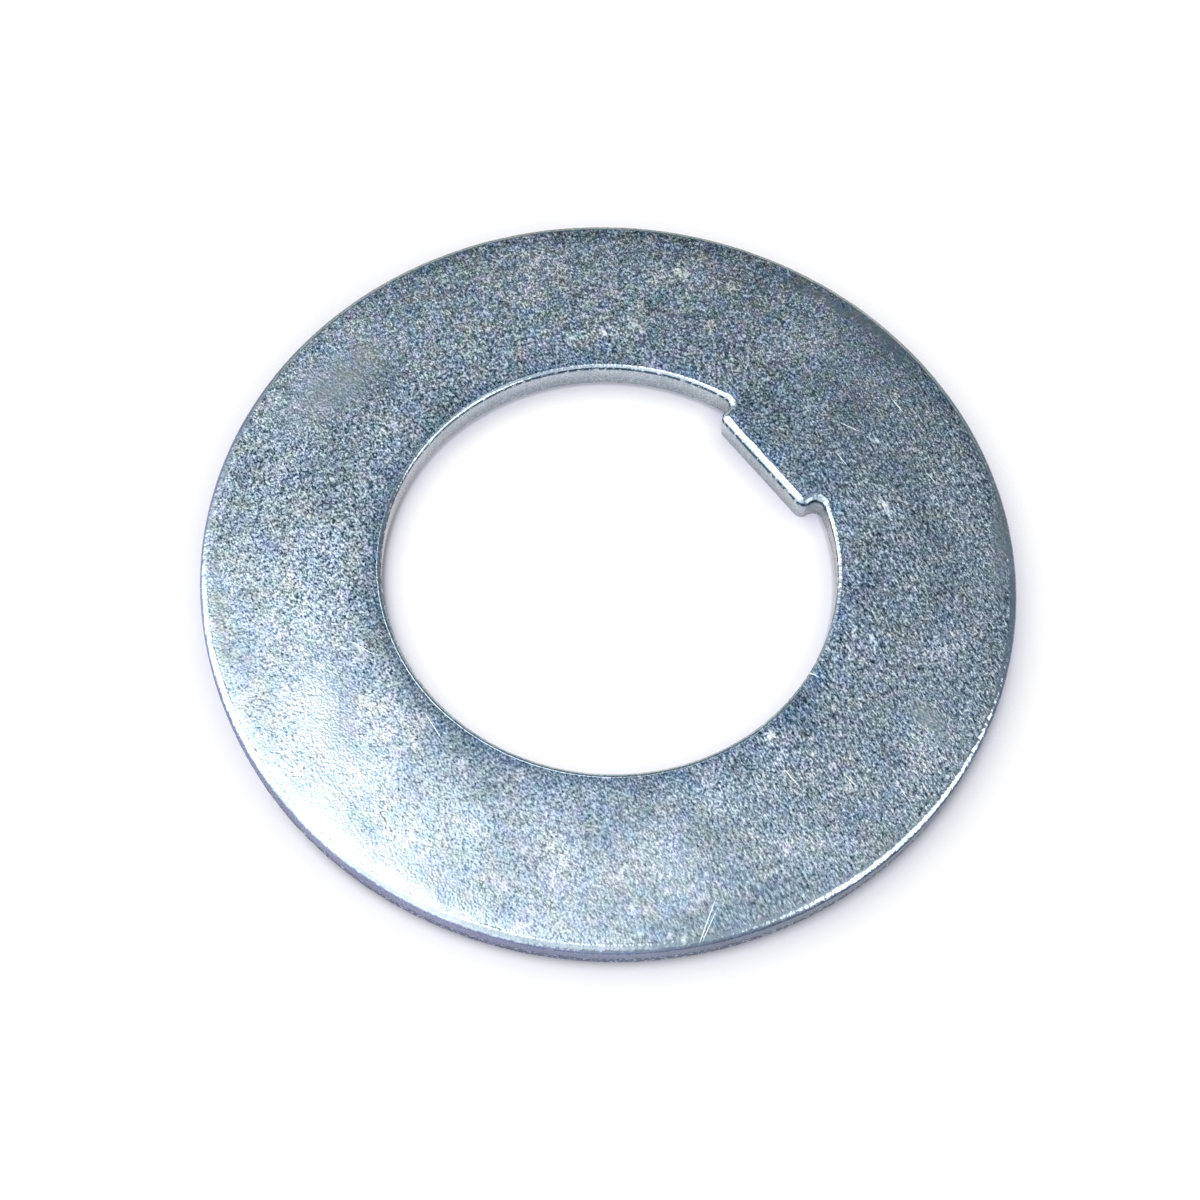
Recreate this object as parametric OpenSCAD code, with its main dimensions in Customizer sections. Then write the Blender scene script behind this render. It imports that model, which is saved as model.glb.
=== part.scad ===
// Keyed spindle washer: a flat steel ring with one square tang that reaches into its bore.
// One stroke of a press cuts the rim, the bore and the tang, so all the walls have a like section:
// a drawn-down curve at the upper face, a smooth upright band, and a torn band that leans back
// to the underside. The washer lies on z = 0 with its bore along Z, and the tang comes in from +Y.

/* [Blank] */
// Outside diameter
outer_d = 57.15; // [46:0.05:80]
// Thickness of the sheet
sheet_t = 2.3; // [1.8:0.05:4]

/* [Bore] */
// Diameter of the bore across its smooth band
bore_d = 32; // [26:0.05:38]

/* [Tang] */
// Width of the tang between its two sides
tang_w = 9.46; // [6:0.02:12]
// Distance that the tang's straight edge stands in from the bore wall
tang_reach = 2.33; // [1.8:0.01:5]
// Radius of the tang's two tips, seen from above
tip_r = 0.65; // [0.6:0.05:1]
// Radius of the fillets at the tang's roots, as far as the length of its sides allows
root_r = 0.65; // [0.3:0.05:1]

/* [Sheared walls] */
// Radius of the curve at the top of the rim
rim_roll_r = 0.7; // [0.5:0.02:1]
// Depth of the curve at the top of the rim
rim_roll_h = 0.42; // [0.2:0.02:0.5]
// Radius of the curve at the top of the bore
bore_roll_r = 0.34; // [0.24:0.02:0.6]
// Depth of the curve at the top of the bore
bore_roll_h = 0.2; // [0.1:0.02:0.3]
// Radius of the curve at the top of the tang's walls
tang_roll_r = 0.6; // [0.44:0.02:0.7]
// Depth of the curve at the top of the tang's walls
tang_roll_h = 0.36; // [0.2:0.02:0.44]
// Height of the torn band at the foot of every wall
tear_h = 1.1; // [0.4:0.05:1.3]
// Distance that the torn band leans back at the underside
tear_lean = 0.07; // [0.02:0.01:0.15]

/* [Hidden] */
$fn = 128;
zinc = [0.68, 0.71, 0.74];

// A cut starts this far outside the face that it cuts
over = 0.1;
// Straight side that is left between a tip and its root, at the least
min_side = 0.05;
// A root fillet runs this far past the bore wall, so that the two cross in a clean line
root_bite = 0.002;

// Width, seen from above, of a drawn-down curve
function roll_w(r, h) = sqrt(2 * r * h - h * h);

outer_r = outer_d / 2;
bore_r = bore_d / 2;
// Radius outside which the bore's curve has reached the upper face
level_r = bore_r + roll_w(bore_roll_r, bore_roll_h);

// Straight edge, sides and tip centres of the tang
tang_y = bore_r - tang_reach;
side_x = tang_w / 2;
tip_x = side_x - tip_r;
tip_y = tang_y + tip_r;

// Centre of a root fillet, which touches the tang's side and the bore wall from inside the bore
side_end = tip_y + min_side;
root_room = (bore_r * bore_r - side_x * side_x - side_end * side_end) / (2 * (bore_r + side_x));
root_fit = min(root_r, root_room);
root_x = side_x + root_fit;
root_y = sqrt(pow(bore_r - root_fit + root_bite, 2) - root_x * root_x);
root_angle = atan2(root_y, root_x);
// Metal behind a root fillet, deep enough to bury the curves of the walls that it joins
level_x = side_x - roll_w(tang_roll_r, tang_roll_h);
root_depth = norm([root_x - level_x, sqrt(level_r * level_r - level_x * level_x) - root_y]);

// Section of a sheared wall: the wall is at x = face, the metal lies behind it, and y is the height
module sheared_wall(face, depth, roll_r, roll_h) {
    w = roll_w(roll_r, roll_h);
    difference() {
        translate([face, 0])
            polygon([[-depth, 0], [-tear_lean, 0], [0, tear_h], [0, sheet_t], [-depth, sheet_t]]);
        // corner outside the drawn-down curve, which leaves the upper face at a tangent
        translate([face, sheet_t]) difference() {
            translate([-w, -roll_h]) square([w + over, roll_h + over]);
            translate([-w, -roll_r]) circle(roll_r);
        }
    }
}

// Flat ring between the rim and the round bore
module ring() {
    rotate_extrude() intersection() {
        sheared_wall(outer_r, outer_r, rim_roll_r, rim_roll_h);
        mirror([1, 0]) sheared_wall(-bore_r, outer_r, bore_roll_r, bore_roll_h);
    }
}

module tang_wall(face, depth) {
    sheared_wall(face, depth, tang_roll_r, tang_roll_h);
}

// Straight edge of the tang, running back into the ring
module tang_edge() {
    translate([tip_x, 0, 0]) rotate([90, 0, -90])
        linear_extrude(2 * tip_x) tang_wall(-tang_y, level_r - tang_y);
}

// One side of the tang, from its tip back into the ring
module tang_side() {
    translate([0, level_r, 0]) rotate([90, 0, 0])
        linear_extrude(level_r - tip_y) tang_wall(side_x, tip_r);
}

// One rounded tip: a quarter turn of the same wall
module tang_tip() {
    translate([tip_x, tip_y, 0]) rotate([0, 0, -90])
        rotate_extrude(angle = 90) tang_wall(tip_r, tip_r);
}

// One root: the wall turns about a centre in the bore, from the tang's side to the bore wall
module tang_root() {
    translate([root_x, root_y, 0]) rotate([0, 0, root_angle])
        rotate_extrude(angle = 180 - root_angle)
            mirror([1, 0]) tang_wall(-root_fit, root_depth);
}

module washer() {
    color(zinc) union() {
        ring();
        tang_edge();
        for (turn = [0, 1]) mirror([turn, 0, 0]) {
            tang_side();
            tang_tip();
            tang_root();
        }
    }
}

washer();
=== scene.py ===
# %% [markdown]
# # A keyed washer of zinc-plated steel
# One flat ring, stamped from sheet, with a square tang that reaches into its bore. The press
# leaves the same section on every wall: a drawn-down curve at the top, a smooth band where the
# punch sheared the metal, and a torn band at the foot. The look comes from three things: that
# section, the fine crystal grain of the zinc, and a bright studio that the metal mirrors unevenly.

# %% The frame
import math

import bpy
import numpy as np
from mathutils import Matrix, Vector


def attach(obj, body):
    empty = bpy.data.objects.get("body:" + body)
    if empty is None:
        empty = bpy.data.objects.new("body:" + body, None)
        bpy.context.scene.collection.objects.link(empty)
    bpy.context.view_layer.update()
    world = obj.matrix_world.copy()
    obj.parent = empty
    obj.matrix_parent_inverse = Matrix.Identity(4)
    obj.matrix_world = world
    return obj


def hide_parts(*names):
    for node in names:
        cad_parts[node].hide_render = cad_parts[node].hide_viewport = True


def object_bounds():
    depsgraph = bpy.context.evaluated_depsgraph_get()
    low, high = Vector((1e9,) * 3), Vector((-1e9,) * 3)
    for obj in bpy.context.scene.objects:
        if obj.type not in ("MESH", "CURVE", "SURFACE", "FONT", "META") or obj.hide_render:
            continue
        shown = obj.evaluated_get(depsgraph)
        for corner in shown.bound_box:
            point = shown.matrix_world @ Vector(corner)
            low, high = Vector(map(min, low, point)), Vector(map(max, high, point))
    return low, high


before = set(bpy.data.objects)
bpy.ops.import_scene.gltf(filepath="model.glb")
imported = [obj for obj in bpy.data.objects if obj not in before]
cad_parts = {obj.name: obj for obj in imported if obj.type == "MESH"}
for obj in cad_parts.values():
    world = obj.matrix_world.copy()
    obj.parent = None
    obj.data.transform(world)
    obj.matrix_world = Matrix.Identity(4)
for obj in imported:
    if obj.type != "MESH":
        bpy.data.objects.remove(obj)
cad_low, cad_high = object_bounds()
MM = 0.001
print("solid washer, mm:", [round(x / MM, 2) for x in cad_high - cad_low])

# %% [markdown]
# ## Sizes
# The rim and the sheet are read from the solid washer, so the two always agree. The bore and the
# tang repeat the sizes that the solid was drawn with. A curve that meets a flat face at a tangent
# is set by its radius and its depth, and the width that it covers follows from them.

# %% Sizes of the washer
WASHER = "washer"
rim_r = cad_high.x
sheet_t = cad_high.z - cad_low.z
bore_r = 16.0 * MM
tang_half = 4.73 * MM
tang_reach = 2.33 * MM
tip_r = 0.65 * MM
root_r = 0.65 * MM
rim_curve = (0.70 * MM, 0.42 * MM)
bore_curve = (0.34 * MM, 0.20 * MM)
tang_curve = (0.60 * MM, 0.36 * MM)
tear_h = 1.10 * MM
tear_lean = 0.07 * MM


def curve_width(radius, depth):
    """Width, seen from above, of a curve that starts at a tangent to the upper face."""
    return math.sqrt(2 * radius * depth - depth * depth)


print("rim curve, mm wide:", round(curve_width(*rim_curve) / MM, 3))

# %% [markdown]
# ## The camera
# It looks down steeply, at about 63 degrees, from six times the washer's radius. The photograph
# shows the tang at the upper right of the bore, and the washer's own +Y runs along the tang, so
# the camera stands off to one side of that axis by TURN. Aim and roll are small, and make up for a
# hand-held camera. PHOTO is the width of the photograph in pixels, and LENS its focal length in
# the same unit.

# %% Camera
PHOTO = 1200
LENS = 2487.5
SENSOR = 36.0
ELEVATION = math.radians(62.751)
TURN = math.radians(47.94)
DISTANCE = 6.1653 * rim_r
AIM_RIGHT, AIM_UP = -0.515 * MM, -1.73 * MM
ROLL = 0.0788
CLIP = (0.01, 10)


def studio(x, y, z=0.0):
    """A direction in the washer's frame, given as the camera sees it: x to the right, y away."""
    c, s = math.cos(TURN), math.sin(TURN)
    return Vector((x * c - y * s, x * s + y * c, z))


def make_camera():
    eye = studio(0, -math.cos(ELEVATION), math.sin(ELEVATION)) * DISTANCE
    right = studio(1, 0)
    up = right.cross(-eye.normalized())
    ahead = (right * AIM_RIGHT + up * AIM_UP - eye).normalized()
    right = ahead.cross(up).normalized()
    up = right.cross(ahead)
    turned = (
        right * math.cos(ROLL) + up * math.sin(ROLL),
        up * math.cos(ROLL) - right * math.sin(ROLL),
        -ahead,
    )
    data = bpy.data.cameras.new("camera")
    data.sensor_width = SENSOR
    data.lens = LENS / PHOTO * SENSOR
    data.clip_start, data.clip_end = CLIP
    camera = bpy.data.objects.new("camera", data)
    bpy.context.scene.collection.objects.link(camera)
    for i, axis in enumerate(turned):
        for j in range(3):
            camera.matrix_world[j][i] = axis[j]
    camera.matrix_world.translation = eye
    bpy.context.scene.camera = camera
    return camera


camera = make_camera()
print("lens, mm:", round(camera.data.lens, 2))


# %% [markdown]
# ## Marks go where the photograph shows them
# A scratch or a rubbed patch is easiest to place by its pixel in the photograph. A ray through
# that pixel meets the plane of the upper face at one point, and that point is the mark's place.

# %% From a pixel to the upper face
def on_face(x_px, y_px):
    """The point of the upper face that the photograph shows at that pixel."""
    right, up, back = (Vector(column[:3]) for column in list(camera.matrix_world.col)[:3])
    ray = right * (x_px - PHOTO / 2) / LENS - up * (y_px - PHOTO / 2) / LENS - back
    eye = camera.matrix_world.translation
    return eye + ray * ((sheet_t - eye.z) / ray.z)


print("centre of the picture, mm:", [round(x / MM, 2) for x in on_face(PHOTO / 2, PHOTO / 2)])

# %% [markdown]
# ## The path round the bore
# The section is carried along the outline of the bore. That outline is drawn once as a closed line
# made of arcs and straight stretches: along the tang's edge, round its tip, along its side, round
# the root and down the bore. It starts at the middle of the tang, and the second half mirrors the
# first.

# %% Outline of the bore with its tang
STEP_ANGLE = math.radians(1.0)
LEAST_STEPS = 8


def arc(centre, radius, start, end):
    """Points along an arc, at least one for each degree."""
    count = max(LEAST_STEPS, math.ceil(abs(end - start) / STEP_ANGLE))
    angles = (start + (end - start) * i / count for i in range(count + 1))
    return [(centre[0] + radius * math.cos(a), centre[1] + radius * math.sin(a)) for a in angles]


tang_y = bore_r - tang_reach
tip_centre = (tang_half - tip_r, tang_y + tip_r)
root_x = tang_half + root_r
root_centre = (root_x, math.sqrt((bore_r - root_r) ** 2 - root_x**2))
root_angle = math.atan2(root_centre[1], root_centre[0])

half_line = [(0.0, tang_y)]
half_line += arc(tip_centre, tip_r, -math.pi / 2, 0)
half_line += arc(root_centre, root_r, math.pi, root_angle)
half_line += arc((0, 0), bore_r, root_angle, -math.pi / 2)[1:]
outline = half_line + [(-x, y) for x, y in reversed(half_line[1:-1])]

tip_end = tip_centre[0] + tip_r * math.pi / 2
root_start = tip_end + root_centre[1] - tip_centre[1]
root_end = root_start + root_r * (math.pi - root_angle)
half_length = root_end + bore_r * (root_angle + math.pi / 2)


def make_path(points):
    """A closed line through the points, on the table."""
    data = bpy.data.curves.new("bore_path", "CURVE")
    data.dimensions = "3D"
    line = data.splines.new("POLY")
    line.points.add(len(points) - 1)
    for point, (x, y) in zip(line.points, points):
        point.co = (x, y, 0, 1)
    line.use_cyclic_u = True
    path = bpy.data.objects.new("bore_path", data)
    bpy.context.scene.collection.objects.link(path)
    return path


path = make_path(outline)
print("outline, mm:", round(2 * half_length / MM, 2), "with", len(outline), "points")


# %% [markdown]
# ## Arithmetic with sockets
# A tree that follows a formula needs many Math nodes. This small class lets a socket stand in a
# Python sum, and each operator adds its node and joins it up. It serves the tree that makes the
# shape and the trees of the finishes alike.

# %% Sums of sockets
def feed(socket, value):
    """Joins a field to a socket, or writes a plain value on it."""
    if isinstance(value, Field):
        value.tree.links.new(value.socket, socket)
    else:
        socket.default_value = value


def math_of(tree, operation, *terms):
    node = tree.nodes.new("ShaderNodeMath")
    node.operation = operation
    for socket, term in zip(node.inputs, terms):
        feed(socket, term)
    return Field(tree, node.outputs[0])


class Field:
    """A socket that can be added, multiplied and compared like a number."""

    def __init__(self, tree, socket):
        self.tree, self.socket = tree, socket

    def __add__(self, other):
        return math_of(self.tree, "ADD", self, other)

    __radd__ = __add__

    def __sub__(self, other):
        return math_of(self.tree, "SUBTRACT", self, other)

    def __rsub__(self, other):
        return math_of(self.tree, "SUBTRACT", other, self)

    def __mul__(self, other):
        return math_of(self.tree, "MULTIPLY", self, other)

    __rmul__ = __mul__

    def __truediv__(self, other):
        return math_of(self.tree, "DIVIDE", self, other)

    def __pow__(self, other):
        return math_of(self.tree, "POWER", self, other)

    def of(self, operation, *others):
        """Any other operation of the Math node, such as SINE or MAXIMUM."""
        return math_of(self.tree, operation, self, *others)

    def span(self, start, end, smooth=False, low=0.0, high=1.0):
        """Runs from low at start to high at end, and holds still outside them."""
        node = self.tree.nodes.new("ShaderNodeMapRange")
        node.interpolation_type = "SMOOTHSTEP" if smooth else "LINEAR"
        names = ("Value", "From Min", "From Max", "To Min", "To Max")
        for name, value in zip(names, (self, start, end, low, high)):
            feed(node.inputs[name], value)
        return Field(self.tree, node.outputs["Result"])

    def toward(self, other, share):
        """This field where share is 0, the other where it is 1, and a blend between."""
        return self + (other - self) * share


def add_node(tree, kind, out=0, settings=None, **inputs):
    """Adds a node, feeds its inputs and returns one of its outputs as a field."""
    node = tree.nodes.new(kind)
    for name, value in (settings or {}).items():
        setattr(node, name, value)
    for name, value in inputs.items():
        feed(node.inputs[name], value)
    return Field(tree, node.outputs[out])


def parts(tree, vector):
    """The three numbers of a vector, each as a field."""
    node = tree.nodes.new("ShaderNodeSeparateXYZ")
    feed(node.inputs[0], vector)
    return [Field(tree, output) for output in node.outputs]


def from_axis(tree, place):
    """Distance of a place from the washer's axis."""
    x, y, _ = parts(tree, place)
    return (x * x + y * y).of("SQRT")


def color_of(tree, channels):
    """One colour from its red, green and blue."""
    red, green, blue = channels
    return add_node(tree, "ShaderNodeCombineColor", Red=red, Green=green, Blue=blue)


# %% [markdown]
# ## The section and its sweep
# The whole skin of the washer is one grid, rolled up both ways like a torus. One side of the grid
# runs along the outline. The other runs round the section: up the bore wall, over its curve,
# across the upper face, over the rim's curve, down the rim and back underneath. So each point has
# a place u along the outline and a row number, and Geometry Nodes work out where it lies from
# those two. This keeps the faces even, makes every edge follow the metal, and lets the tear wander
# and the curve vary.

# %% Rows of the section
ROWS = [
    ("bore_tear", 7),
    ("bore_band", 3),
    ("bore_curve", 7),
    ("top", 26),
    ("rim_curve", 8),
    ("rim_band", 3),
    ("rim_tear", 8),
    ("under", 7),
]
COLUMNS = 1280
ROW_COUNT = sum(count for _, count in ROWS)
print("faces:", COLUMNS * ROW_COUNT, "triangles:", 2 * COLUMNS * ROW_COUNT)


def stages(row):
    """For each stretch of the section, how far through it the row is, from 0 to 1."""
    done, start = {}, 0
    for name, count in ROWS:
        done[name] = row.span(start, start + count)
        start += count
    return done


# %% [markdown]
# The rim's angle is tied to the length along the bore's outline. Along the tang that link is
# slower, and round the root it is faster, so that the lines across the upper face fan out from the
# tang without crossing. FAN gives the angle at the tip and at the root.

# %% Sizes and helpers of the sweep
FAN = (math.radians(7.6), math.radians(21.0))
NUMBERS = {
    "Rim Radius": rim_r,
    "Thickness": sheet_t,
    "Rim Curve Radius": rim_curve[0],
    "Rim Curve Depth": rim_curve[1],
    "Bore Curve Radius": bore_curve[0],
    "Bore Curve Depth": bore_curve[1],
    "Tang Curve Radius": tang_curve[0],
    "Tang Curve Depth": tang_curve[1],
    "Tear Height": tear_h,
    "Tear Lean": tear_lean,
    "Tear Wander": 0.13 * MM,
    "Tear Depth": 0.05 * MM,
    "Draw Down": 0.035 * MM,
    "Draw Down Reach": 0.8 * MM,
    "Dish": 0.056 * MM,
    "Dish Reach": 4.0 * MM,
    "Rim Drop": 0.028 * MM,
    "Rim Reach": 0.45 * MM,
    "Curve Wander": 0.10,
}
RIPPLE = 0.5 * MM
PIT = 0.35 * MM
EDGE_FADE = 1.6 * MM
SEAM = 0.001 * MM
# How strongly the painted dark line of shade at the crease shows on the rim
RIM_CREASE_SHADE = 0.52
BORE_TORN = 0.25
TOP_ROW = 1 / dict(ROWS)["top"]


def noise_at(tree, place, size, detail=2.0):
    """Noise from 0 to 1 with lumps of about the given size."""
    return add_node(tree, "ShaderNodeTexNoise", Vector=place, Scale=1 / size, Detail=detail)


def waves(tree, place, long, short, share):
    """Long noise and a share of short noise together, about 0."""
    return noise_at(tree, place, long) - 0.5 + (noise_at(tree, place, short) - 0.5) * share


def curve_start(radius, depth):
    """Angle from the vertical at which a drawn-down curve begins."""
    return (1 - depth / radius).of("ARCCOSINE")


# %% Inputs and grid of the sweep
def start_tree():
    """An empty tree whose inputs are the path, the sizes and the finish."""
    tree = bpy.data.node_groups.new("keyed_section_sweep", "GeometryNodeTree")
    sockets = tree.interface
    sockets.new_socket("Geometry", in_out="OUTPUT", socket_type="NodeSocketGeometry")
    sockets.new_socket("Path", in_out="INPUT", socket_type="NodeSocketGeometry")
    for name in NUMBERS:
        sockets.new_socket(name, in_out="INPUT", socket_type="NodeSocketFloat")
    sockets.new_socket("Finish", in_out="INPUT", socket_type="NodeSocketMaterial")
    return tree, tree.nodes.new("NodeGroupInput")


def add_grid(tree):
    """A flat grid, and for each of its points the place along the outline and the row."""
    grid = tree.nodes.new("GeometryNodeMeshGrid")
    sizes = {"Size X": 1, "Size Y": 1, "Vertices X": COLUMNS + 1, "Vertices Y": ROW_COUNT + 1}
    for name, value in sizes.items():
        grid.inputs[name].default_value = value
    across_grid, up_grid, _ = parts(tree, add_node(tree, "GeometryNodeInputPosition"))
    u = across_grid + 0.5
    row = ((up_grid + 0.5) * ROW_COUNT).of("ROUND")
    return grid.outputs["Mesh"], u, row


# %% Ways along the outline and the rim
def follow_outline(tree, group, u):
    """The outline's point at u, and the direction from there into the metal."""
    sample = tree.nodes.new("GeometryNodeSampleCurve")
    sample.mode = "FACTOR"
    tree.links.new(group.outputs["Path"], sample.inputs["Curves"])
    feed(sample.inputs["Factor"], u)
    on_path = Field(tree, sample.outputs["Position"])
    along_x, along_y, _ = parts(tree, Field(tree, sample.outputs["Tangent"]))
    return on_path, 0 - along_y, along_x


def follow_rim(u, length):
    """The direction out to the rim's point that goes with a length along the outline."""
    side = 1 - u.of("GREATER_THAN", 0.5) * 2
    turn = length.span(0, tip_end) * FAN[0] + length.span(tip_end, root_end) * (FAN[1] - FAN[0])
    turn = (turn + length.span(root_end, half_length) * (math.pi - FAN[1])) * side
    return turn.of("SINE"), turn.of("COSINE")


# %% End of the sweep
def close_skin(tree, group, skin, where, stored):
    """Stores what the finish needs, moves the grid into place and closes its seams."""
    for name, value in stored.items():
        store = tree.nodes.new("GeometryNodeStoreNamedAttribute")
        store.data_type, store.domain = "FLOAT", "POINT"
        store.inputs["Name"].default_value = name
        feed(store.inputs["Value"], value)
        tree.links.new(skin, store.inputs["Geometry"])
        skin = store.outputs["Geometry"]
    shape = tree.nodes.new("GeometryNodeSetPosition")
    feed(shape.inputs["Position"], where)
    close = tree.nodes.new("GeometryNodeMergeByDistance")
    close.inputs["Distance"].default_value = SEAM
    smooth = tree.nodes.new("GeometryNodeSetShadeSmooth")
    real = tree.nodes.new("GeometryNodeRealizeInstances")
    paint = tree.nodes.new("GeometryNodeSetMaterial")
    tree.links.new(group.outputs["Finish"], paint.inputs["Material"])
    for node in (shape, close, smooth, real, paint):
        tree.links.new(skin, node.inputs["Geometry"])
        skin = node.outputs["Geometry"]
    result = tree.nodes.new("NodeGroupOutput")
    tree.links.new(skin, result.inputs["Geometry"])


# %% Tree that sweeps the section
def make_sweep():
    tree, group = start_tree()
    size = {name: Field(tree, group.outputs[name]) for name in NUMBERS}
    skin, u, row = add_grid(tree)
    stage = stages(row)
    on_path, into_x, into_y = follow_outline(tree, group, u)
    path_x, path_y, _ = parts(tree, on_path)

    # Length from the middle of the tang, the same both ways, and the rim's point that goes with it
    length = (0.5 - (u - 0.5).of("ABSOLUTE")) * (2 * half_length)
    rim_x, rim_y = follow_rim(u, length)
    rim_at_x, rim_at_y = rim_x * size["Rim Radius"], rim_y * size["Rim Radius"]
    on_rim = add_node(tree, "ShaderNodeCombineXYZ", X=rim_at_x, Y=rim_at_y)

    # The bore's curve is larger on the tang than on the plain bore, and every curve varies a little
    plain = length.span(root_start + 0.5 * root_r, root_end + root_r, smooth=True)
    bore_vary = waves(tree, on_path, 2.0 * MM, RIPPLE, 0.7) * size["Curve Wander"] * 2 + 1
    rim_vary = waves(tree, on_rim, 4.0 * MM, RIPPLE, 1.2) * size["Curve Wander"] * 2 + 1
    radius = size["Tang Curve Radius"].toward(size["Bore Curve Radius"], plain) * bore_vary
    depth = size["Tang Curve Depth"].toward(size["Bore Curve Depth"], plain) * bore_vary
    rim_radius = size["Rim Curve Radius"] * rim_vary
    rim_depth = size["Rim Curve Depth"] * rim_vary
    begin, rim_begin = curve_start(radius, depth), curve_start(rim_radius, rim_depth)

    # The face sinks towards the bore, a long shallow dish that steepens at the edge, and the curve
    # carries that slope on
    sinks = [(size["Draw Down"], size["Draw Down Reach"]), (size["Dish"], size["Dish Reach"])]
    drop = sinks[0][0] + sinks[1][0]
    slope = sinks[0][0] / sinks[0][1] + sinks[1][0] / sinks[1][1]
    angle = begin.toward(slope, stage["bore_curve"])
    level = radius * (begin.of("SINE") - slope.of("SINE"))
    across = stage["top"] * stage["top"] * (3 - 2 * stage["top"])
    rim_drop = size["Rim Drop"]
    rim_slope = rim_drop / size["Rim Reach"]
    rim_angle = rim_slope.toward(rim_begin, stage["rim_curve"])
    span_out = size["Rim Radius"] - rim_radius * (rim_begin.of("SINE") - rim_slope.of("SINE"))
    face = span_out - level - (path_x * path_x + path_y * path_y).of("SQRT")
    from_bore = across * face
    near, far = (deep * (0 - from_bore / reach).of("EXPONENT") for deep, reach in sinks)
    to_rim = (1 - across) * face
    sunk = near + far + rim_drop * (0 - to_rim / size["Rim Reach"]).of("EXPONENT")

    # Where the smooth band gives way to the tear, above the bore's foot and the rim's
    tears = []
    for line in (on_path, on_rim):
        wander = waves(tree, line, 3.0 * MM, RIPPLE, 0.5)
        tears.append(size["Tear Height"] + wander * size["Tear Wander"] * 2)
    bore_tear, rim_tear = tears

    # Distance of the skin behind the bore wall and behind the rim, and its height
    lean = size["Tear Lean"]
    outer = stage["rim_curve"].of("GREATER_THAN", 0.01)
    behind = lean * (1 - stage["bore_tear"]) + radius * (begin.of("SINE") - angle.of("SINE"))
    behind = behind * (1 - outer) + lean * outer
    inside = rim_radius * (rim_begin.of("SINE") - rim_angle.of("SINE")) + lean * stage["rim_tear"]
    bore_top = size["Thickness"] - drop
    bore_shoulder = bore_top - radius * (slope.of("COSINE") - begin.of("COSINE"))
    height = bore_tear * stage["bore_tear"] + (bore_shoulder - bore_tear) * stage["bore_band"]
    height = height + radius * (angle.of("COSINE") - begin.of("COSINE"))
    height = height + (drop - sunk) * stage["top"].of("GREATER_THAN", 0.0)
    rim_top = size["Thickness"] - rim_drop
    rim_shoulder = rim_top - rim_radius * (rim_slope.of("COSINE") - rim_begin.of("COSINE"))
    fallen = rim_radius * (rim_slope.of("COSINE") - rim_angle.of("COSINE"))
    fallen = fallen + (rim_shoulder - rim_tear) * stage["rim_band"] + rim_tear * stage["rim_tear"]
    height = height.toward(rim_top - fallen, outer)

    # Torn metal is pitted, so its skin steps back by a random depth, down to the foot of the wall.
    # The pits are shallower in the bore, and most of all on the tang's narrow sides
    beneath = stage["under"].of("GREATER_THAN", 0.0)
    bore_torn = (1 - stage["bore_tear"]).span(0.0, 0.3)
    rim_torn = stage["rim_tear"].span(0.0, 0.3)
    torn = bore_torn * BORE_TORN + rim_torn * (1 - beneath)
    pits = []
    for x, y in ((path_x, path_y), (rim_at_x, rim_at_y)):
        spot = add_node(tree, "ShaderNodeCombineXYZ", X=x, Y=y, Z=height)
        depth_at = noise_at(tree, spot, PIT, detail=3.0).span(0.35, 0.75)
        pits.append(depth_at * size["Tear Depth"])
    flank = length.span(tip_end - 0.3 * MM, tip_end, smooth=True) * (1 - plain)
    behind = behind + (bore_torn + beneath) * pits[0] * (0.5 - flank * 0.3)
    inside = inside + rim_torn * pits[1]

    # From the bore's outline to the rim, and back underneath
    back = stage["under"].span(0, 1, smooth=True).span(0, 1, smooth=True)
    share = across * (1 - back)
    at = []
    for start, into, out in ((path_x, into_x, rim_x), (path_y, into_y, rim_y)):
        on_wall = start + into * behind
        at.append(on_wall.toward(out * (size["Rim Radius"] - inside), share))
    where = add_node(tree, "ShaderNodeCombineXYZ", X=at[0], Y=at[1], Z=height)

    # The finish needs to know where the metal is torn, where it is wall, how near the bore's edge a
    # point is, for the painted shade there, and where a curve ends in a crease above its smooth
    # band, where a dark line of painted shade goes
    wall = (1 - stage["top"].span(0, TOP_ROW) + stage["rim_curve"].span(0, 0.2)) * (1 - beneath)
    edge = (0 - from_bore / EDGE_FADE).of("EXPONENT") * (1 - beneath)
    crease = stage["bore_band"].span(0.6, 1.0) * stage["bore_curve"].span(0.5, 0.0)
    rim_crease = stage["rim_curve"].span(0.6, 1.0) * stage["rim_band"].span(0.4, 0.0)
    crease = crease + rim_crease * RIM_CREASE_SHADE
    stored = {"torn": torn, "wall": wall, "edge": edge, "crease": crease}
    close_skin(tree, group, skin, where, stored)
    return tree


sweep = make_sweep()
print("nodes in the sweep:", len(sweep.nodes))
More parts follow.
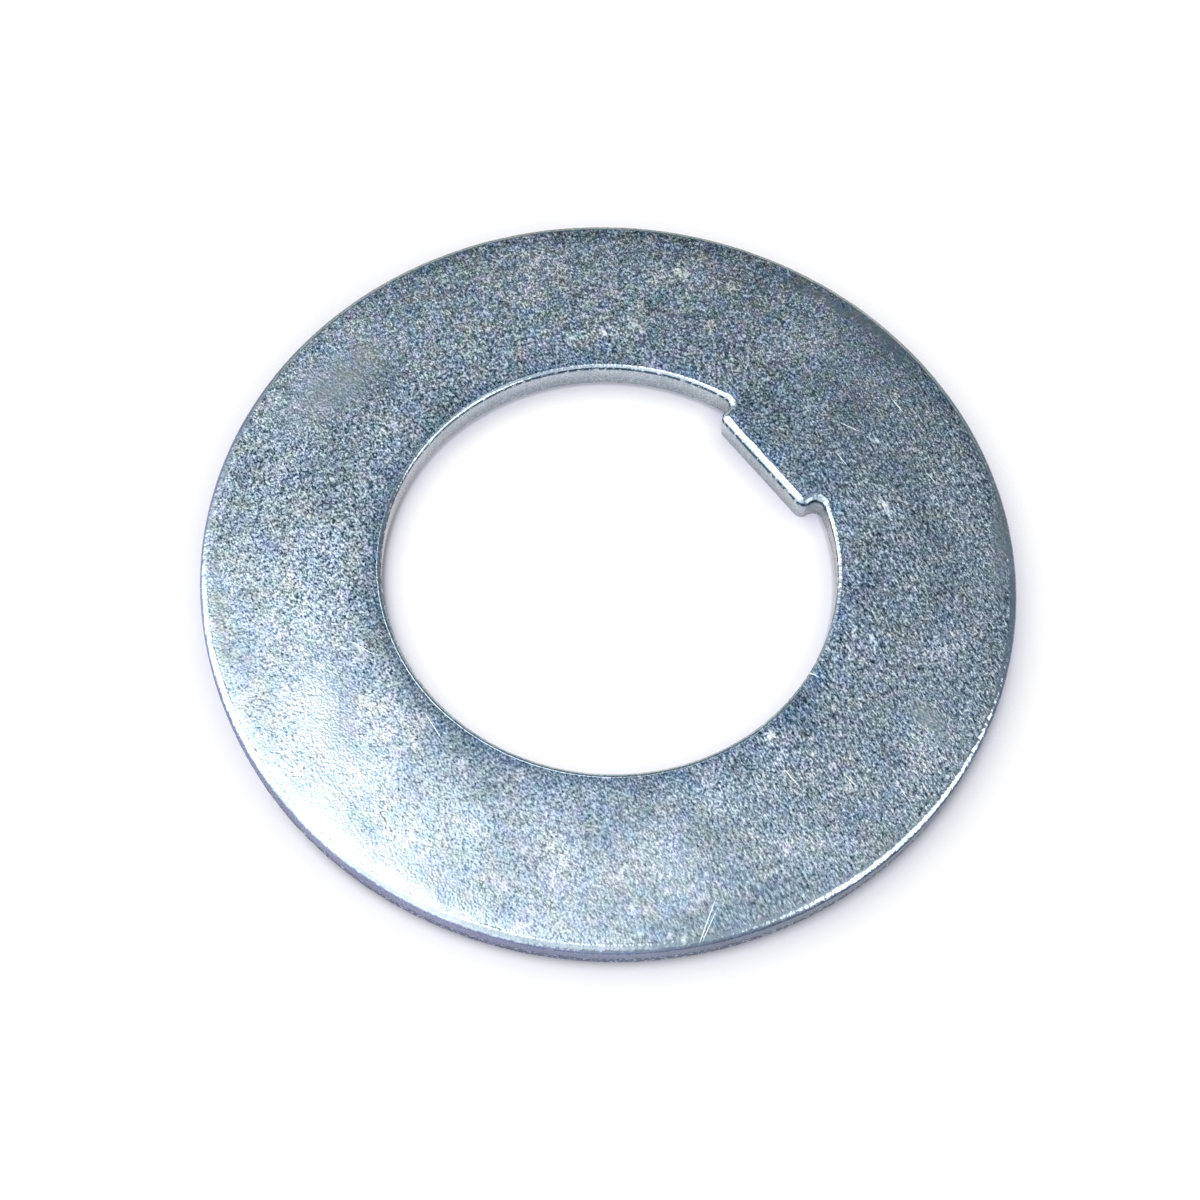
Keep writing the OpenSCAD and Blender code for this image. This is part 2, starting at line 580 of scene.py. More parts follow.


# %% [markdown]
# ## Marks of handling
# The washer has been tipped out of a box with hundreds of others, so its face carries a few bright
# scratches, dark hairs, pale spots, and rubbed and worn patches. Soft pale and dark clouds lie over
# it. The marks were placed one by one, and the clouds were read off a blurred picture of where the
# photograph was paler or darker than a render of this scene. Each is an ellipse from one pixel of
# the photograph to another, with a width in millimetres. A Mapping node turns the surface into the
# ellipse's own axes, where the mark is everything less than 1 away from the middle.

# %% Where the marks are
SCRATCHES = [
    ((892, 399), (902, 411), 0.07),
    ((841, 423), (859, 431), 0.06),
    ((837, 453), (845, 463), 0.06),
    ((927, 473), (936, 483), 0.06),
    ((786, 771), (797, 784), 0.08),
    ((845, 775), (854, 784), 0.08),
    ((900, 787), (907, 798), 0.06),
    ((714, 903), (701, 939), 0.07),
    ((716, 911), (704, 938), 0.05),
    ((352, 642), (372, 653), 0.07),
    ((427, 716), (440, 736), 0.07),
    ((806, 670), (818, 676), 0.08),
]
HAIRS = [
    ((704, 878), (712, 898), 0.08),
    ((350, 625), (346, 643), 0.08),
    ((346, 663), (338, 679), 0.08),
    ((340, 694), (340, 730), 0.07),
    ((619, 262), (627, 263), 0.12),
    ((624, 266), (633, 265), 0.10),
]
SPOTS = [
    ((624, 868), (624, 874), 0.55),
    ((633, 910), (633, 914), 0.45),
    ((640, 929), (640, 932), 0.40),
    ((684, 935), (684, 938), 0.45),
    ((670, 935), (670, 938), 0.35),
    ((354, 639), (362, 645), 0.70),
    ((631, 322), (641, 334), 0.55),
    ((600, 330), (606, 336), 0.50),
    ((868, 637), (876, 643), 0.60),
    ((938, 650), (946, 654), 0.60),
    ((833, 707), (836, 712), 0.35),
    ((858, 696), (862, 702), 0.35),
    ((766, 734), (774, 738), 0.50),
    ((847, 788), (852, 792), 0.40),
    ((676, 270), (684, 276), 0.65),
    ((678, 298), (682, 301), 0.40),
    ((568, 334), (576, 338), 0.40),
    ((627, 350), (630, 352), 0.35),
    ((872, 436), (880, 444), 0.60),
    ((918, 450), (924, 456), 0.45),
    ((933, 498), (936, 502), 0.45),
    ((880, 500), (890, 512), 0.60),
]
RUBBED = [
    ((802, 287), (884, 332), 0.9),
    ((878, 336), (906, 358), 1.0),
    ((1001, 500), (1001, 585), 1.0),
    ((300, 410), (370, 360), 4.0),
    ((215, 560), (222, 690), 0.6),
    ((915, 705), (940, 730), 1.3),
]
WORN = [
    ((322, 672), (338, 775), 3.2),
    ((305, 790), (345, 855), 2.6),
    ((330, 845), (460, 900), 2.4),
]
SMUDGE = [((436, 896), (450, 905), 0.9)]
PALE_CLOUDS = [
    ((500, 285), (545, 300), 2.4),
    ((535, 248), (545, 258), 1.8),
    ((640, 275), (705, 285), 2.0),
    ((780, 345), (830, 345), 2.2),
    ((578, 325), (622, 340), 1.8),
    ((752, 375), (760, 385), 1.2),
    ((722, 406), (732, 418), 1.2),
    ((945, 510), (962, 530), 2.0),
    ((925, 650), (970, 642), 1.8),
    ((924, 705), (922, 760), 2.0),
    ((765, 725), (775, 778), 2.0),
    ((775, 836), (840, 850), 2.6),
    ((635, 830), (680, 890), 4.2),
    ((545, 815), (575, 885), 2.4),
    ((705, 795), (720, 808), 2.4),
    ((380, 690), (400, 725), 3.4),
    ((300, 670), (312, 770), 3.0),
    ((372, 745), (358, 805), 3.0),
    ((465, 815), (475, 830), 2.0),
    ((282, 588), (335, 648), 3.0),
    ((398, 835), (412, 846), 2.0),
]
DARK_CLOUDS = [
    ((212, 560), (226, 710), 1.0),
    ((238, 635), (246, 670), 1.6),
    ((395, 375), (310, 480), 2.8),
    ((385, 380), (440, 430), 2.6),
    ((264, 435), (230, 520), 2.8),
    ((325, 495), (330, 515), 1.8),
    ((245, 525), (290, 545), 2.4),
    ((405, 870), (450, 894), 1.2),
    ((252, 580), (262, 605), 2.0),
    ((640, 300), (665, 310), 2.0),
    ((755, 272), (768, 286), 1.6),
    ((770, 400), (782, 430), 3.0),
    ((822, 455), (815, 520), 2.8),
    ((835, 330), (900, 372), 2.4),
    ((835, 395), (868, 455), 3.0),
    ((748, 405), (760, 435), 1.6),
    ((808, 503), (830, 507), 1.6),
    ((935, 375), (992, 468), 1.6),
    ((905, 480), (940, 550), 2.2),
    ((862, 560), (885, 615), 2.2),
    ((930, 600), (975, 572), 1.6),
    ((885, 748), (895, 758), 1.8),
    ((820, 822), (825, 832), 1.6),
    ((700, 828), (722, 834), 2.4),
    ((345, 450), (362, 470), 2.4),
    ((805, 700), (790, 730), 2.0),
    ((752, 758), (756, 775), 1.6),
    ((575, 822), (632, 824), 2.8),
    ((478, 795), (495, 790), 1.4),
    ((640, 938), (750, 910), 1.6),
    ((705, 935), (825, 875), 2.2),
    ((715, 925), (787, 901), 1.8),
    ((890, 845), (905, 832), 1.4),
]


# %% From the lists to the metal
PAST_END = 0.6


def ellipse(start_px, end_px, width):
    """Middle and axis of a mark, and its two half sizes. It ends a little past its two pixels."""
    start, end = on_face(*start_px), on_face(*end_px)
    axis = end - start
    return (start + end) / 2, axis, max(axis.length, width * MM) * PAST_END, width * MM / 2


def marks(tree, place, kind, soft):
    """One field that is 1 inside the marks of that kind and fades to 0 at their edges."""
    total = 0
    for mark in kind:
        middle, axis, reach, half_width = ellipse(*mark)
        node = tree.nodes.new("ShaderNodeMapping")
        node.vector_type = "TEXTURE"
        feed(node.inputs["Vector"], place)
        node.inputs["Location"].default_value = middle
        node.inputs["Rotation"].default_value = (0, 0, math.atan2(axis.y, axis.x))
        node.inputs["Scale"].default_value = (reach, half_width, 1.0 * MM)
        length = tree.nodes.new("ShaderNodeVectorMath")
        length.operation = "LENGTH"
        tree.links.new(node.outputs[0], length.inputs[0])
        away = Field(tree, length.outputs["Value"])
        total = away.span(1 - soft, 1 + soft, low=1, high=0) + total
    return total.of("MINIMUM", 1.0)


print("marks:", sum(len(kind) for kind in (SCRATCHES, HAIRS, SPOTS, RUBBED, WORN, SMUDGE)))
print("clouds:", len(PALE_CLOUDS) + len(DARK_CLOUDS))


# %% [markdown]
# ## The zinc
# Electroplated zinc is a satin metal made of tiny crystals. Each crystal mirrors the studio a
# little differently, so the face is a salt and pepper of near-black, mid-grey and pale specks, a
# seventh of a millimetre across, with a blue cast. Towards the camera's lower right the specks are
# drawn out into short strokes, and at the front left and at the back they are softer. The sheared
# walls are smoother, with upright streaks that the punch left. A broken dark line of painted shade
# runs where a rolled curve meets the smooth band below it, in place of a dark reflection there. The
# face is painted darker and bluer near the bore's edge, most at the left, and darker in a band
# inside the rim at the back: painted shade. The torn bands are dull and dark, with glints on their
# small facets that come partly from bumps and partly from painted highlights. The metal could be
# painted with one picture, but noise is sharp from any distance and covers the walls and the
# underside too.

# %% Grain of the zinc
STROKE_START, STROKE_END = on_face(800, 700), on_face(830, 752)
STROKE = math.atan2(STROKE_END.y - STROKE_START.y, STROKE_END.x - STROKE_START.x)
LUMPS, STROKES, SALT = 0.22 * MM, 0.19 * MM, 0.11 * MM
print("direction of the strokes, degrees:", round(math.degrees(STROKE), 1))


def stretched(tree, place, angle, length, upright=1.0):
    """Coordinates in which a pattern is drawn out along an angle, or upright."""
    node = tree.nodes.new("ShaderNodeMapping")
    node.vector_type = "TEXTURE"
    feed(node.inputs["Vector"], place)
    node.inputs["Rotation"].default_value = (0, 0, angle)
    node.inputs["Scale"].default_value = (length, 1, upright)
    return Field(tree, node.outputs[0])


def along(tree, place, direction, start, end):
    """Runs from 0 to 1 between two distances from the axis, in mm, measured along a direction."""
    x, y, _ = parts(tree, place)
    return (x * direction.x + y * direction.y).span(start * MM, end * MM, smooth=True)


def grain_of(tree, place, soft):
    """Fine grain about 0: round on most of the face, stroked at the right, coarser where soft."""
    stroked = along(tree, place, studio(0.95, -0.3), 3, 19)
    lumps = noise_at(tree, place, LUMPS, detail=1.0)
    strokes = noise_at(tree, stretched(tree, place, STROKE, 2.4), STROKES, detail=1.0)
    salt = noise_at(tree, stretched(tree, place, STROKE, 1.5), SALT, detail=0.0)
    return (lumps.toward(strokes, stroked) - 0.5) * 2.1 + (salt - 0.5) * (1.7 - soft * 1.2)


# %% Ragged edges
# Patches of wear have ragged edges, so they are looked up in a place that is shaken a little
RAGGED = 0.9 * MM


def shaken(tree, place):
    """Noise about 0, and the place moved by it."""
    shake = noise_at(tree, place, RAGGED, detail=1.0) - 0.5
    move = add_node(tree, "ShaderNodeCombineXYZ", X=shake * (1.6 * MM), Y=shake * (-1.2 * MM))
    moved = tree.nodes.new("ShaderNodeVectorMath")
    moved.operation = "ADD"
    feed(moved.inputs[0], place)
    feed(moved.inputs[1], move)
    return shake, Field(tree, moved.outputs[0])


# %% Marks on the zinc
SCRATCH_TONE, HAIR_TONE, SMUDGE_TONE = 2.2, 0.35, 0.55


def add_marks(tree, place, ragged, tone, chips, flecks):
    """The tone with its marks. Scratches and spots are dull, so they scatter the whole studio."""
    scratched = marks(tree, place, SCRATCHES, 0.3)
    spotted = marks(tree, ragged, SPOTS, 0.5) * chips.span(0.36, 0.50)
    tone = tone.toward(SCRATCH_TONE, scratched * 0.9)
    tone = tone.toward(HAIR_TONE, marks(tree, place, HAIRS, 0.4) * 0.7)
    tone = tone + spotted * 0.55 + flecks * 0.30
    tone = tone.toward(SMUDGE_TONE, marks(tree, ragged, SMUDGE, 0.5) * 0.6)
    dull = (scratched + spotted * 0.5 + flecks * 0.15).of("MINIMUM", 1.0)
    return tone, dull


# %% Colour of the zinc
TINT = (0.397, 0.50, 0.594)
CAST = 0.9 * MM
CAST_SWING = (0.07, 0.025, 0.07)
BLUE_SHIFT = (-0.10, -0.04, 0.08)


def add_cast(tree, place, tone, swing, blueness):
    """The tone as a colour, with faint blue, green and lilac casts."""
    cast = add_node(tree, "ShaderNodeTexNoise", "Color", Vector=place, Scale=1 / CAST, Detail=0.0)
    casts = tree.nodes.new("ShaderNodeSeparateColor")
    feed(casts.inputs[0], cast)
    # Dark specks keep more of the blue than pale ones, so the cast goes with the root of the tone
    channels = []
    grey, root = TINT[1], tone.of("SQRT")
    for level, drift, width, blue in zip(TINT, casts.outputs, CAST_SWING, BLUE_SHIFT):
        lean = 1 + Field(tree, drift).span(0.25, 0.75, low=-width, high=width) * swing
        lean = lean + blueness * blue
        channels.append((tone * grey + (lean * level - grey) * root).of("MINIMUM", 1.0))
    return color_of(tree, channels)


# %% Zinc finish
STREAKS, CHIPS, DRIFTS, TIDES = 0.10 * MM, 0.30 * MM, 4.0 * MM, 2.2 * MM
# Radii of a band of painted shade inside the rim at the back
BACK_RIM_SHADE = ((26.6 * MM, 27.3 * MM), (28.3 * MM, 28.0 * MM))
# The second tone here is that of the painted dark line of shade at the crease
LEAST_TONE, CREASE_SHADE = 0.12, 0.12
SHINY, GRAINY = 0.14, 0.38
WORN_ROUGH, TORN_ROUGH, DULL = 0.16, 0.25, 0.62
BUMP, BUMP_LUMPS, BUMP_SHARE = 0.01 * MM, 0.16 * MM, 0.5


def stored_at(tree, name):
    """A number that each point of the mesh carries."""
    return add_node(tree, "ShaderNodeAttribute", "Fac", {"attribute_name": name})


def make_zinc():
    material = bpy.data.materials.new("zinc_plate")
    material.use_nodes = True
    tree = material.node_tree
    tree.nodes.clear()
    output = tree.nodes.new("ShaderNodeOutputMaterial")
    metal = tree.nodes.new("ShaderNodeBsdfPrincipled")
    tree.links.new(metal.outputs[0], output.inputs["Surface"])
    metal.inputs["Metallic"].default_value = 1.0
    place = Field(tree, tree.nodes.new("ShaderNodeTexCoord").outputs["Object"])
    torn, wall, edge, crease, clouds = (
        stored_at(tree, name) for name in ("torn", "wall", "edge", "crease", "cloud")
    )
    edge = edge * (1 - wall)
    shake, ragged = shaken(tree, place)
    rubbed = marks(tree, ragged, RUBBED, 0.7)
    worn = marks(tree, ragged, WORN, 0.6)
    soft = along(tree, place, studio(-0.4, -0.91), 8, 24)
    rear = along(tree, place, studio(0.0, 1.0), 8, 22)
    leftish = along(tree, place, studio(-1.0, 0.3), -14, 14)

    # Grain, calmer where the face is worn and on the rolled and sheared walls
    grain = grain_of(tree, place, soft)
    streaks = noise_at(tree, stretched(tree, place, 0, 1, 14), STREAKS, detail=1.0)
    calm = (rubbed * 0.7 + worn * 0.75 + wall * 0.75).of("MINIMUM", 0.9)
    contrast = 1.15 - soft * 0.35 - rear * 0.30
    tone = (1 + grain * contrast + grain * grain * grain * 0.7).of("MAXIMUM", LEAST_TONE)
    tone = tone.toward(0.72 + streaks * 0.6 + worn * 0.25, calm)
    chips = noise_at(tree, place, CHIPS, detail=1.0)
    # Glints on torn metal are painted as pale specks in its colour: painted highlights
    painted_glint = chips.span(0.54, 0.62)
    tone = tone.toward(0.55 + grain * 0.3 + painted_glint * 0.8, torn * 0.9)

    # Clouds, painted shade near the bore's edge and inside the rim at the back, and at the crease
    cloud = noise_at(tree, place, DRIFTS, detail=1.0).span(0.3, 0.7, low=0.88, high=1.10)
    cloud = cloud + clouds * (1 + shake * 1.6)
    away = from_axis(tree, place)
    # Painted shade: darker near the bore's edge, most at the left, and in a band inside the rim at
    # the back
    back_rim_shade = away.span(*BACK_RIM_SHADE[0]) * away.span(*BACK_RIM_SHADE[1]) * rear
    tone = tone * cloud * (1 - edge * (leftish * 0.30 + 0.20)) * (1 - back_rim_shade * 0.18)
    # Painted shade: a broken dark line along the crease, in place of a dark reflection there
    tone = tone.toward(CREASE_SHADE, crease.span(0.35, 0.7) * chips.span(0.34, 0.45))
    flecks = shake.span(0.17, 0.25) * (1 - calm)
    tone, dull = add_marks(tree, place, ragged, tone, chips, flecks)

    # The casts are stronger at the back and weaker on the walls, tides of blue cross the face, and
    # the painted shade at the bore's edge is bluer
    swing = (1 + rear * 0.8) * (1 - wall * 0.65)
    tide = (noise_at(tree, place, TIDES, detail=1.0) - 0.5) * 2.6 * (1 - wall * 0.7)
    blueness = edge * (1 - leftish * 0.6) + tide - rubbed * 0.45
    feed(metal.inputs["Base Color"], add_cast(tree, place, tone, swing, blueness))
    rough = grain.span(-0.25, 0.5, low=SHINY, high=GRAINY).toward(WORN_ROUGH, calm)
    rough = rough.toward(TORN_ROUGH + painted_glint * 0.3, torn).toward(DULL, dull)
    feed(metal.inputs["Roughness"], rough)
    bump = tree.nodes.new("ShaderNodeBump")
    bump.inputs["Strength"].default_value = BUMP_SHARE
    bump.inputs["Distance"].default_value = BUMP
    fine = noise_at(tree, place, BUMP_LUMPS, detail=0.0) * (1.6 - wall)
    feed(bump.inputs["Height"], fine + chips * (torn * 9 + wall * 8))
    tree.links.new(bump.outputs["Normal"], metal.inputs["Normal"])
    return material


zinc = make_zinc()
print("nodes in the zinc:", len(zinc.node_tree.nodes))


# %% [markdown]
# ## Clouds
# A cloud is soft and many times wider than a face of the mesh. A node for each of them would slow
# the render down, so each point of the mesh stores how much paler or darker than its surroundings
# it is, and the finish reads that number. Small sharp marks can't be kept this way, because the
# points are too far apart for them, so they stay in the finish.

# %% Clouds on the mesh
PALER, DARKER = 0.28, -0.26
CLOUD_SOFT = 0.8


def lay_clouds(mesh):
    """Stores how much paler or darker than its surroundings each point of the mesh is."""
    points = np.empty(len(mesh.vertices) * 3, np.float32)
    mesh.vertices.foreach_get("co", points)
    x, y, z = points.reshape(-1, 3).T
    cloud = np.zeros_like(x)
    for clouds, strength in ((PALE_CLOUDS, PALER), (DARK_CLOUDS, DARKER)):
        cover = np.zeros_like(x)
        for mark in clouds:
            middle, axis, reach, half_width = ellipse(*mark)
            axis.normalize()
            ahead = ((x - middle.x) * axis.x + (y - middle.y) * axis.y) / reach
            aside = ((y - middle.y) * axis.x - (x - middle.x) * axis.y) / half_width
            away = np.sqrt(ahead**2 + aside**2 + ((z - sheet_t) / MM) ** 2)
            cover += np.clip((1 + CLOUD_SOFT - away) / (2 * CLOUD_SOFT), 0, 1)
        cloud += strength * np.minimum(cover, 1)
    mesh.attributes.new("cloud", "FLOAT", "POINT").data.foreach_set("value", cloud)
    print("points under a cloud:", int(np.count_nonzero(cloud)))


# %% [markdown]
# ## From the sweep to a piece
# What Geometry Nodes make is there only as long as their modifier is. So the result is copied to a
# plain mesh, whose points can carry the clouds, and this piece then stands for the solid washer.
# Edges that bend by more than SHARP are shaded as corners, and all others as parts of a curve. The
# volume is a quick test: it is right only where the mesh is closed and its faces point outwards.

# %% Washer as a mesh
SHARP = math.radians(20)


def make_washer():
    """Runs the sweep along the path, and keeps its result as a plain mesh."""
    run = path.modifiers.new("sweep", "NODES")
    run.node_group = sweep
    values = {**NUMBERS, "Finish": zinc}
    for item in sweep.interface.items_tree:
        if item.in_out == "INPUT" and item.name in values:
            run[item.identifier] = values[item.name]
    depsgraph = bpy.context.evaluated_depsgraph_get()
    mesh = bpy.data.meshes.new_from_object(path.evaluated_get(depsgraph), depsgraph=depsgraph)
    mesh.name = "plated_washer"
    mesh.set_sharp_from_angle(angle=SHARP)
    lay_clouds(mesh)
    path.modifiers.remove(run)
    bpy.data.objects.remove(path)
    piece = bpy.data.objects.new("plated_washer", mesh)
    bpy.context.scene.collection.objects.link(piece)
    return piece


def volume_of(mesh):
    """Volume that a closed mesh holds, which is below zero if its faces point inwards."""
    mesh.calc_loop_triangles()
    points = mesh.vertices
    corners = ([points[i].co for i in triangle.vertices] for triangle in mesh.loop_triangles)
    return sum(a.dot(b.cross(c)) for a, b, c in corners) / 6


washer = make_washer()
print("washer:", len(washer.data.vertices), "points,", len(washer.data.polygons), "faces")
print("volume, mm3:", round(volume_of(washer.data) / MM**3, 1))
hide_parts(WASHER)
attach(washer, "root")

# %% [markdown]
# ## Floor
# The washer lies on a white sheet that glows a little past white, so only its contact shadow shows,
# painted into that glow. An Ambient Occlusion node finds that shadow close to the walls, faintly
# lilac, and narrower in the bore than round the rim. The foot of the wall is painted darker still
# in front of the rim and at the left of the bore, and a share of matt white takes the soft shadow
# of the lamp. A plain white sheet would also make the walls of the metal far too pale. So what the
# metal mirrors of the table is painted apart, as the light and shade of the sheet in the bore, near
# the washer and further out.

# %% Shadow at the foot of the walls
IN_BORE = (20 * MM, 18 * MM)
RIM_FOOT = ((29.3 * MM, 28.5 * MM), (27 * MM, 28 * MM))
BORE_FOOT, BORE_LINE = (15.1 * MM, 16.0 * MM), (15.75 * MM, 15.95 * MM)
RIM_DARK, BORE_DARK, LINE_DARK = 0.58, 0.66, 0.40
TO_FRONT, TO_LEFT, TO_RIGHT = studio(0.35, -0.94), studio(-0.97, -0.26), studio(0.98, -0.20)


def light_at_foot(away, out_to):
    """1 where the sheet is open, and less at the foot of the rim and of the bore."""
    foot = away.span(*RIM_FOOT[0]) * away.span(*RIM_FOOT[1])
    foot = 1 - foot * foot * out_to(TO_FRONT).span(0.3, 0.55) * RIM_DARK
    in_bore = away.span(*IN_BORE)
    bore_foot = away.span(*BORE_FOOT) * in_bore
    bore_foot = bore_foot * bore_foot * out_to(TO_LEFT).span(0.6, 0.95)
    bore_line = away.span(*BORE_LINE) * in_bore
    return foot * (1 - bore_foot * BORE_DARK) * (1 - bore_line * LINE_DARK)


# %% Colours of the table
WHITE = 1.08
MATT, MATT_SHARE = 0.94, 0.22
SHADOW_IN_BORE, SHADOW_AT_RIM = 2.0 * MM, 4.0 * MM
OPEN, PLAIN = (30.5 * MM, 33.5 * MM), (42 * MM, 36 * MM)
SHADOW = (0.12, 0.14, 0.34)
# What the metal mirrors of the sheet is painted light and shade: brighter than white in the bore,
# darker near the washer, pale and lilac to the left, warm behind, and dark to the right and back
INNER = (1.36, 1.22, 1.20)
NEAR = (0.67, 0.65, 0.72)
NEAR_LEFT = (0.82, 0.74, 0.96)
NEAR_BACK = (0.93, 0.80, 0.74)
LEFT = (0.76, 0.68, 0.94)
RIGHT = (0.24, 0.25, 0.34)
BACK = (0.35, 0.31, 0.31)


def table_colors(tree, place, away, seen):
    """The sheet's glow near the washer, with its painted shadow, and its colour out in the open."""
    x, y, _ = parts(tree, place)

    def out_to(direction):
        return (x * direction.x + y * direction.y) / (away + 1 * MM)

    reach = away.span(17 * MM, 27 * MM, low=SHADOW_IN_BORE, high=SHADOW_AT_RIM)
    open_sky = add_node(tree, "ShaderNodeAmbientOcclusion", "AO", {"samples": 1}, Distance=reach)
    lit = open_sky.span(0.46, 0.74) ** 0.6
    leftness = out_to(studio(-0.75, -0.66)).span(0.1, 0.8)
    backness = out_to(studio(0.3, 0.95)).span(0.1, 0.7)
    behind = out_to(studio(0.0, 1.0)).span(0.55, 0.80)
    outside = (away - behind * (20 * MM)).span(*OPEN)
    inner = away.span(27 * MM, 20 * MM)
    foot = light_at_foot(away, out_to)
    open_side = away.span(*IN_BORE) * out_to(TO_RIGHT).span(0.4, 0.9)
    channels, open_channels = [], []
    colors = zip(SHADOW, INNER, NEAR, NEAR_LEFT, NEAR_BACK, LEFT, RIGHT, BACK)
    for shade, hole, near, near_left, near_back, left, right, back in colors:
        far = leftness.span(0, 1, low=right, high=left).toward(back, backness)
        close_by = leftness.span(0, 1, low=near, high=near_left)
        close_by = close_by.toward(near_back, behind).toward(hole, inner)
        # For mirrored rays the sheet shows painted light and shade, darkened by its painted shadow
        mirrored = (lit.span(0, 1, low=0.1, high=1.0) * close_by).toward(far, outside)
        shaded = leftness.span(0, 1, low=0.05 + shade, high=0.42 + shade) + open_side * 0.3
        direct = lit.span(0, 1, low=shaded, high=WHITE) * foot
        channels.append(mirrored.toward(direct, seen))
        open_channels.append(far.toward(WHITE, seen))
    return color_of(tree, channels), color_of(tree, open_channels)


# %% Finish of the table
def add_mix(tree, share, first, second):
    """A shader that is the first where the share is 0 and the second where it is 1."""
    mix = tree.nodes.new("ShaderNodeMixShader")
    feed(mix.inputs["Fac"], share)
    tree.links.new(first, mix.inputs[1])
    tree.links.new(second, mix.inputs[2])
    return mix.outputs[0]


def make_table_white():
    material = bpy.data.materials.new("table_white")
    material.use_nodes = True
    tree = material.node_tree
    tree.nodes.clear()
    place = Field(tree, tree.nodes.new("ShaderNodeTexCoord").outputs["Object"])
    away = from_axis(tree, place)
    seen = Field(tree, tree.nodes.new("ShaderNodeLightPath").outputs["Is Camera Ray"])
    glows = []
    for color in table_colors(tree, place, away, seen):
        glow = tree.nodes.new("ShaderNodeEmission")
        feed(glow.inputs["Color"], color)
        glows.append(glow.outputs[0])
    matt = tree.nodes.new("ShaderNodeBsdfDiffuse")
    matt.inputs["Color"].default_value = (MATT, MATT, MATT, 1)
    near_washer = add_mix(tree, seen * MATT_SHARE, glows[0], matt.outputs[0])
    # Beyond the shadow the sheet is plain, which spares the render most of its work
    whole = add_mix(tree, away.span(*PLAIN, smooth=True), glows[1], near_washer)
    output = tree.nodes.new("ShaderNodeOutputMaterial")
    tree.links.new(whole, output.inputs["Surface"])
    return material


# %% Floor
FLOOR_HALF = 0.5


def make_floor():
    mesh = bpy.data.meshes.new("table")
    mesh.from_pydata([(-1, -1, 0), (1, -1, 0), (1, 1, 0), (-1, 1, 0)], [], [(0, 1, 2, 3)])
    for vertex in mesh.vertices:
        vertex.co *= FLOOR_HALF
    mesh.materials.append(make_table_white())
    floor = bpy.data.objects.new("table", mesh)
    bpy.context.scene.collection.objects.link(floor)


make_floor()
print("table, m across:", 2 * FLOOR_HALF)


# %% [markdown]
# ## The studio
# Metal shows what stands round it, so the studio is made for the metal. A soft box hangs overhead
# to the left, and its far right corner falls inside what the face mirrors: that is why the lower
# left glows and the upper right stays dark. The left wall is paler than the right, and a lamp
# stands low at the right. The front is white at its left and grey at its right, and the back is
# dusky, with a pale haze at its foot. Only mirrored rays see all this. The camera sees white, and
# the floor is lit by an even grey and by one wide sun, which the metal doesn't mirror.

# %% Walls and lamps that the metal mirrors
LEFT_WALL, RIGHT_WALL = 0.50, 0.20
BOX_DIM, BOX_BRIGHT = 0.6, 2.38
LAMP, LAMP_AT = 2.5, studio(0.87, -0.33, 0.36)
GLOW, GLOW_AT = 0.65, studio(-0.586, -0.750, 0.307)
FRONT_LEFT, FRONT_RIGHT = 1.8, 0.6
DUSK, HAZE = 0.2, 0.85


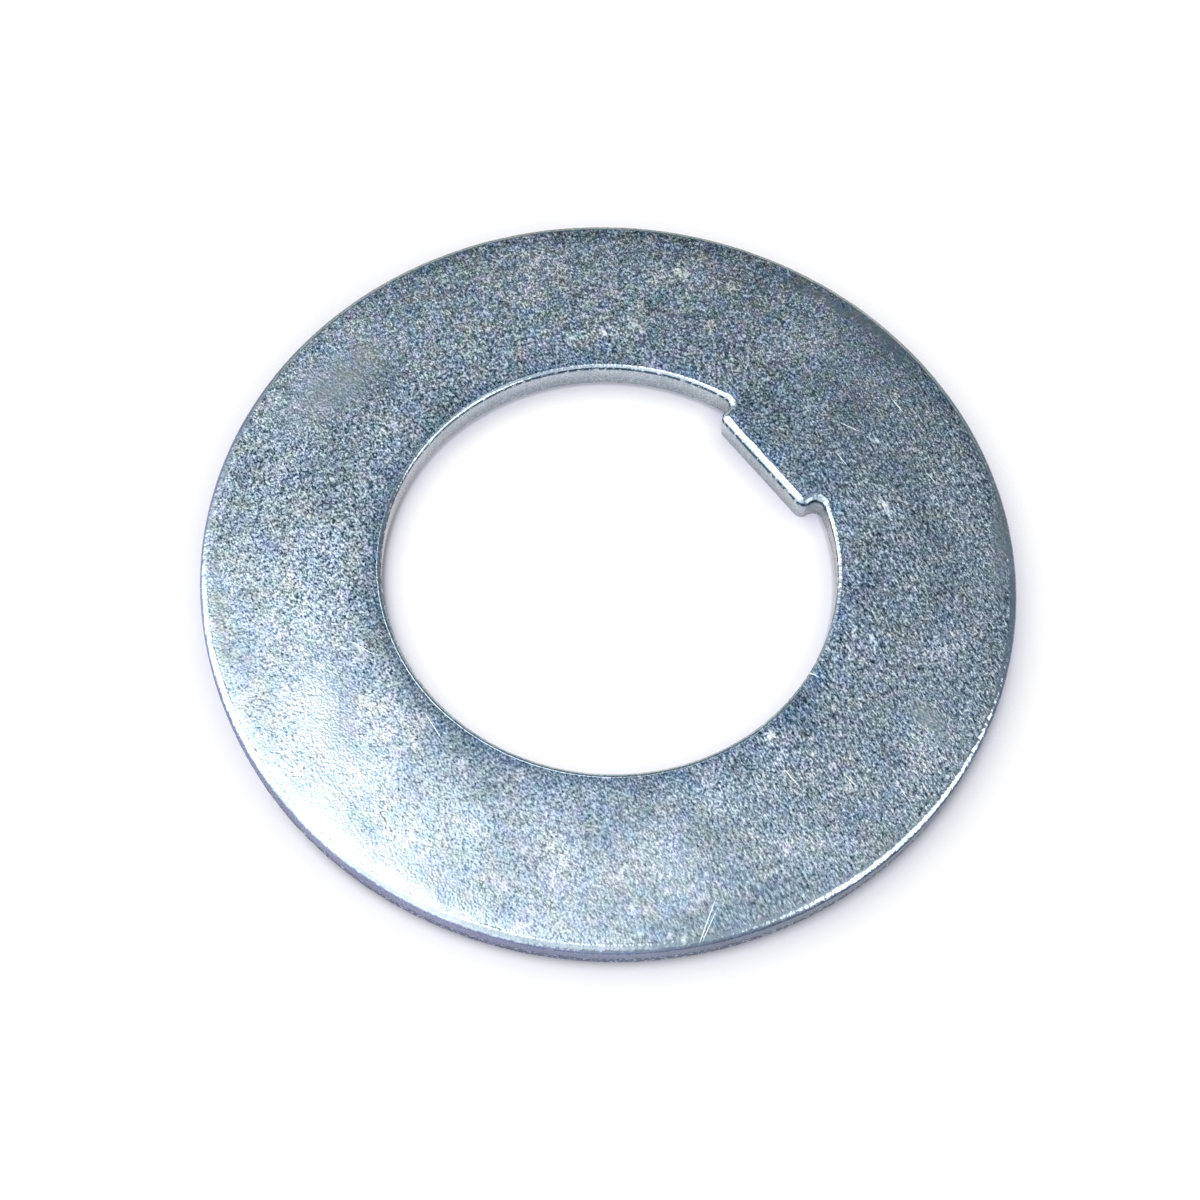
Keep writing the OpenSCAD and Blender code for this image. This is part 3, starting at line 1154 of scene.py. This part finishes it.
def mirrored_room(tree, facing):
    """The colour of the studio in each direction, a little warm where it is bright."""
    right, away, up = (facing(studio(*axis)) for axis in ((1, 0, 0), (0, 1, 0), (0, 0, 1)))
    room = right.span(-0.45, -0.18, low=LEFT_WALL, high=RIGHT_WALL) + right.span(0.0, 0.12) * 0.10
    glow = facing(GLOW_AT).span(-0.20, 0.05) * GLOW
    box = (right + away * 0.22 - 0.075).span(-0.02, -0.11, smooth=True)
    box = box * away.span(0.43, 0.33, smooth=True)
    box = box * away.span(-0.40, -0.05, low=BOX_DIM, high=BOX_BRIGHT)
    lamp = facing(LAMP_AT).span(0.85, 0.93, smooth=True) * LAMP
    level = room + glow + box + lamp
    front = away.span(-0.50, -0.72, smooth=True) * up.span(0.52, 0.30, smooth=True)
    level = level.toward(right.span(-0.16, -0.02, low=FRONT_LEFT, high=FRONT_RIGHT), front)
    dusk = away.span(0.56, 0.70) * up.span(0.84, 0.70)
    haze = away.span(0.6, 0.8) * up.span(0.52, 0.34)
    level = level.toward(DUSK, dusk).toward(HAZE, haze)
    warm = level.span(0.3, 1.6)
    red = level * warm.span(0, 1, low=0.94, high=1.06)
    blue = level * (warm.span(0, 1, low=1.08, high=0.96) - haze * 0.25)
    return color_of(tree, (red, level, blue))


# %% World
EVEN_GREY = (0.62, 0.62, 0.64, 1)
PURE_WHITE = (1, 1, 1, 1)


def make_world():
    world = bpy.data.worlds.new("studio")
    bpy.context.scene.world = world
    world.use_nodes = True
    tree = world.node_tree
    tree.nodes.clear()
    toward = Field(tree, tree.nodes.new("ShaderNodeTexCoord").outputs["Generated"])

    def facing(direction):
        node = tree.nodes.new("ShaderNodeVectorMath")
        node.operation = "DOT_PRODUCT"
        feed(node.inputs[0], toward)
        node.inputs[1].default_value = direction
        return Field(tree, node.outputs["Value"])

    shaders = []
    for value in (EVEN_GREY, mirrored_room(tree, facing), PURE_WHITE):
        shader = tree.nodes.new("ShaderNodeBackground")
        feed(shader.inputs["Color"], value)
        shaders.append(shader.outputs[0])
    ray = tree.nodes.new("ShaderNodeLightPath")
    glossy, seen = (Field(tree, ray.outputs[name]) for name in ("Is Glossy Ray", "Is Camera Ray"))
    shown = add_mix(tree, seen, add_mix(tree, glossy, shaders[0], shaders[1]), shaders[2])
    output = tree.nodes.new("ShaderNodeOutputWorld")
    tree.links.new(shown, output.inputs["Surface"])


make_world()
print("brightest part of the soft box:", BOX_BRIGHT)

# %% Lamp
KEY_STRENGTH = 2.0
KEY_WIDTH = math.radians(50)
KEY_FROM = studio(-0.75, 0.20, 1.0)


def make_key():
    data = bpy.data.lights.new("key", "SUN")
    data.energy = KEY_STRENGTH
    data.angle = KEY_WIDTH
    key = bpy.data.objects.new("key", data)
    bpy.context.scene.collection.objects.link(key)
    key.rotation_mode = "QUATERNION"
    key.rotation_quaternion = KEY_FROM.to_track_quat("Z", "Y")
    key.visible_glossy = False


make_key()
bpy.context.scene.view_settings.view_transform = "Standard"
print("key, degrees wide:", round(math.degrees(KEY_WIDTH)))
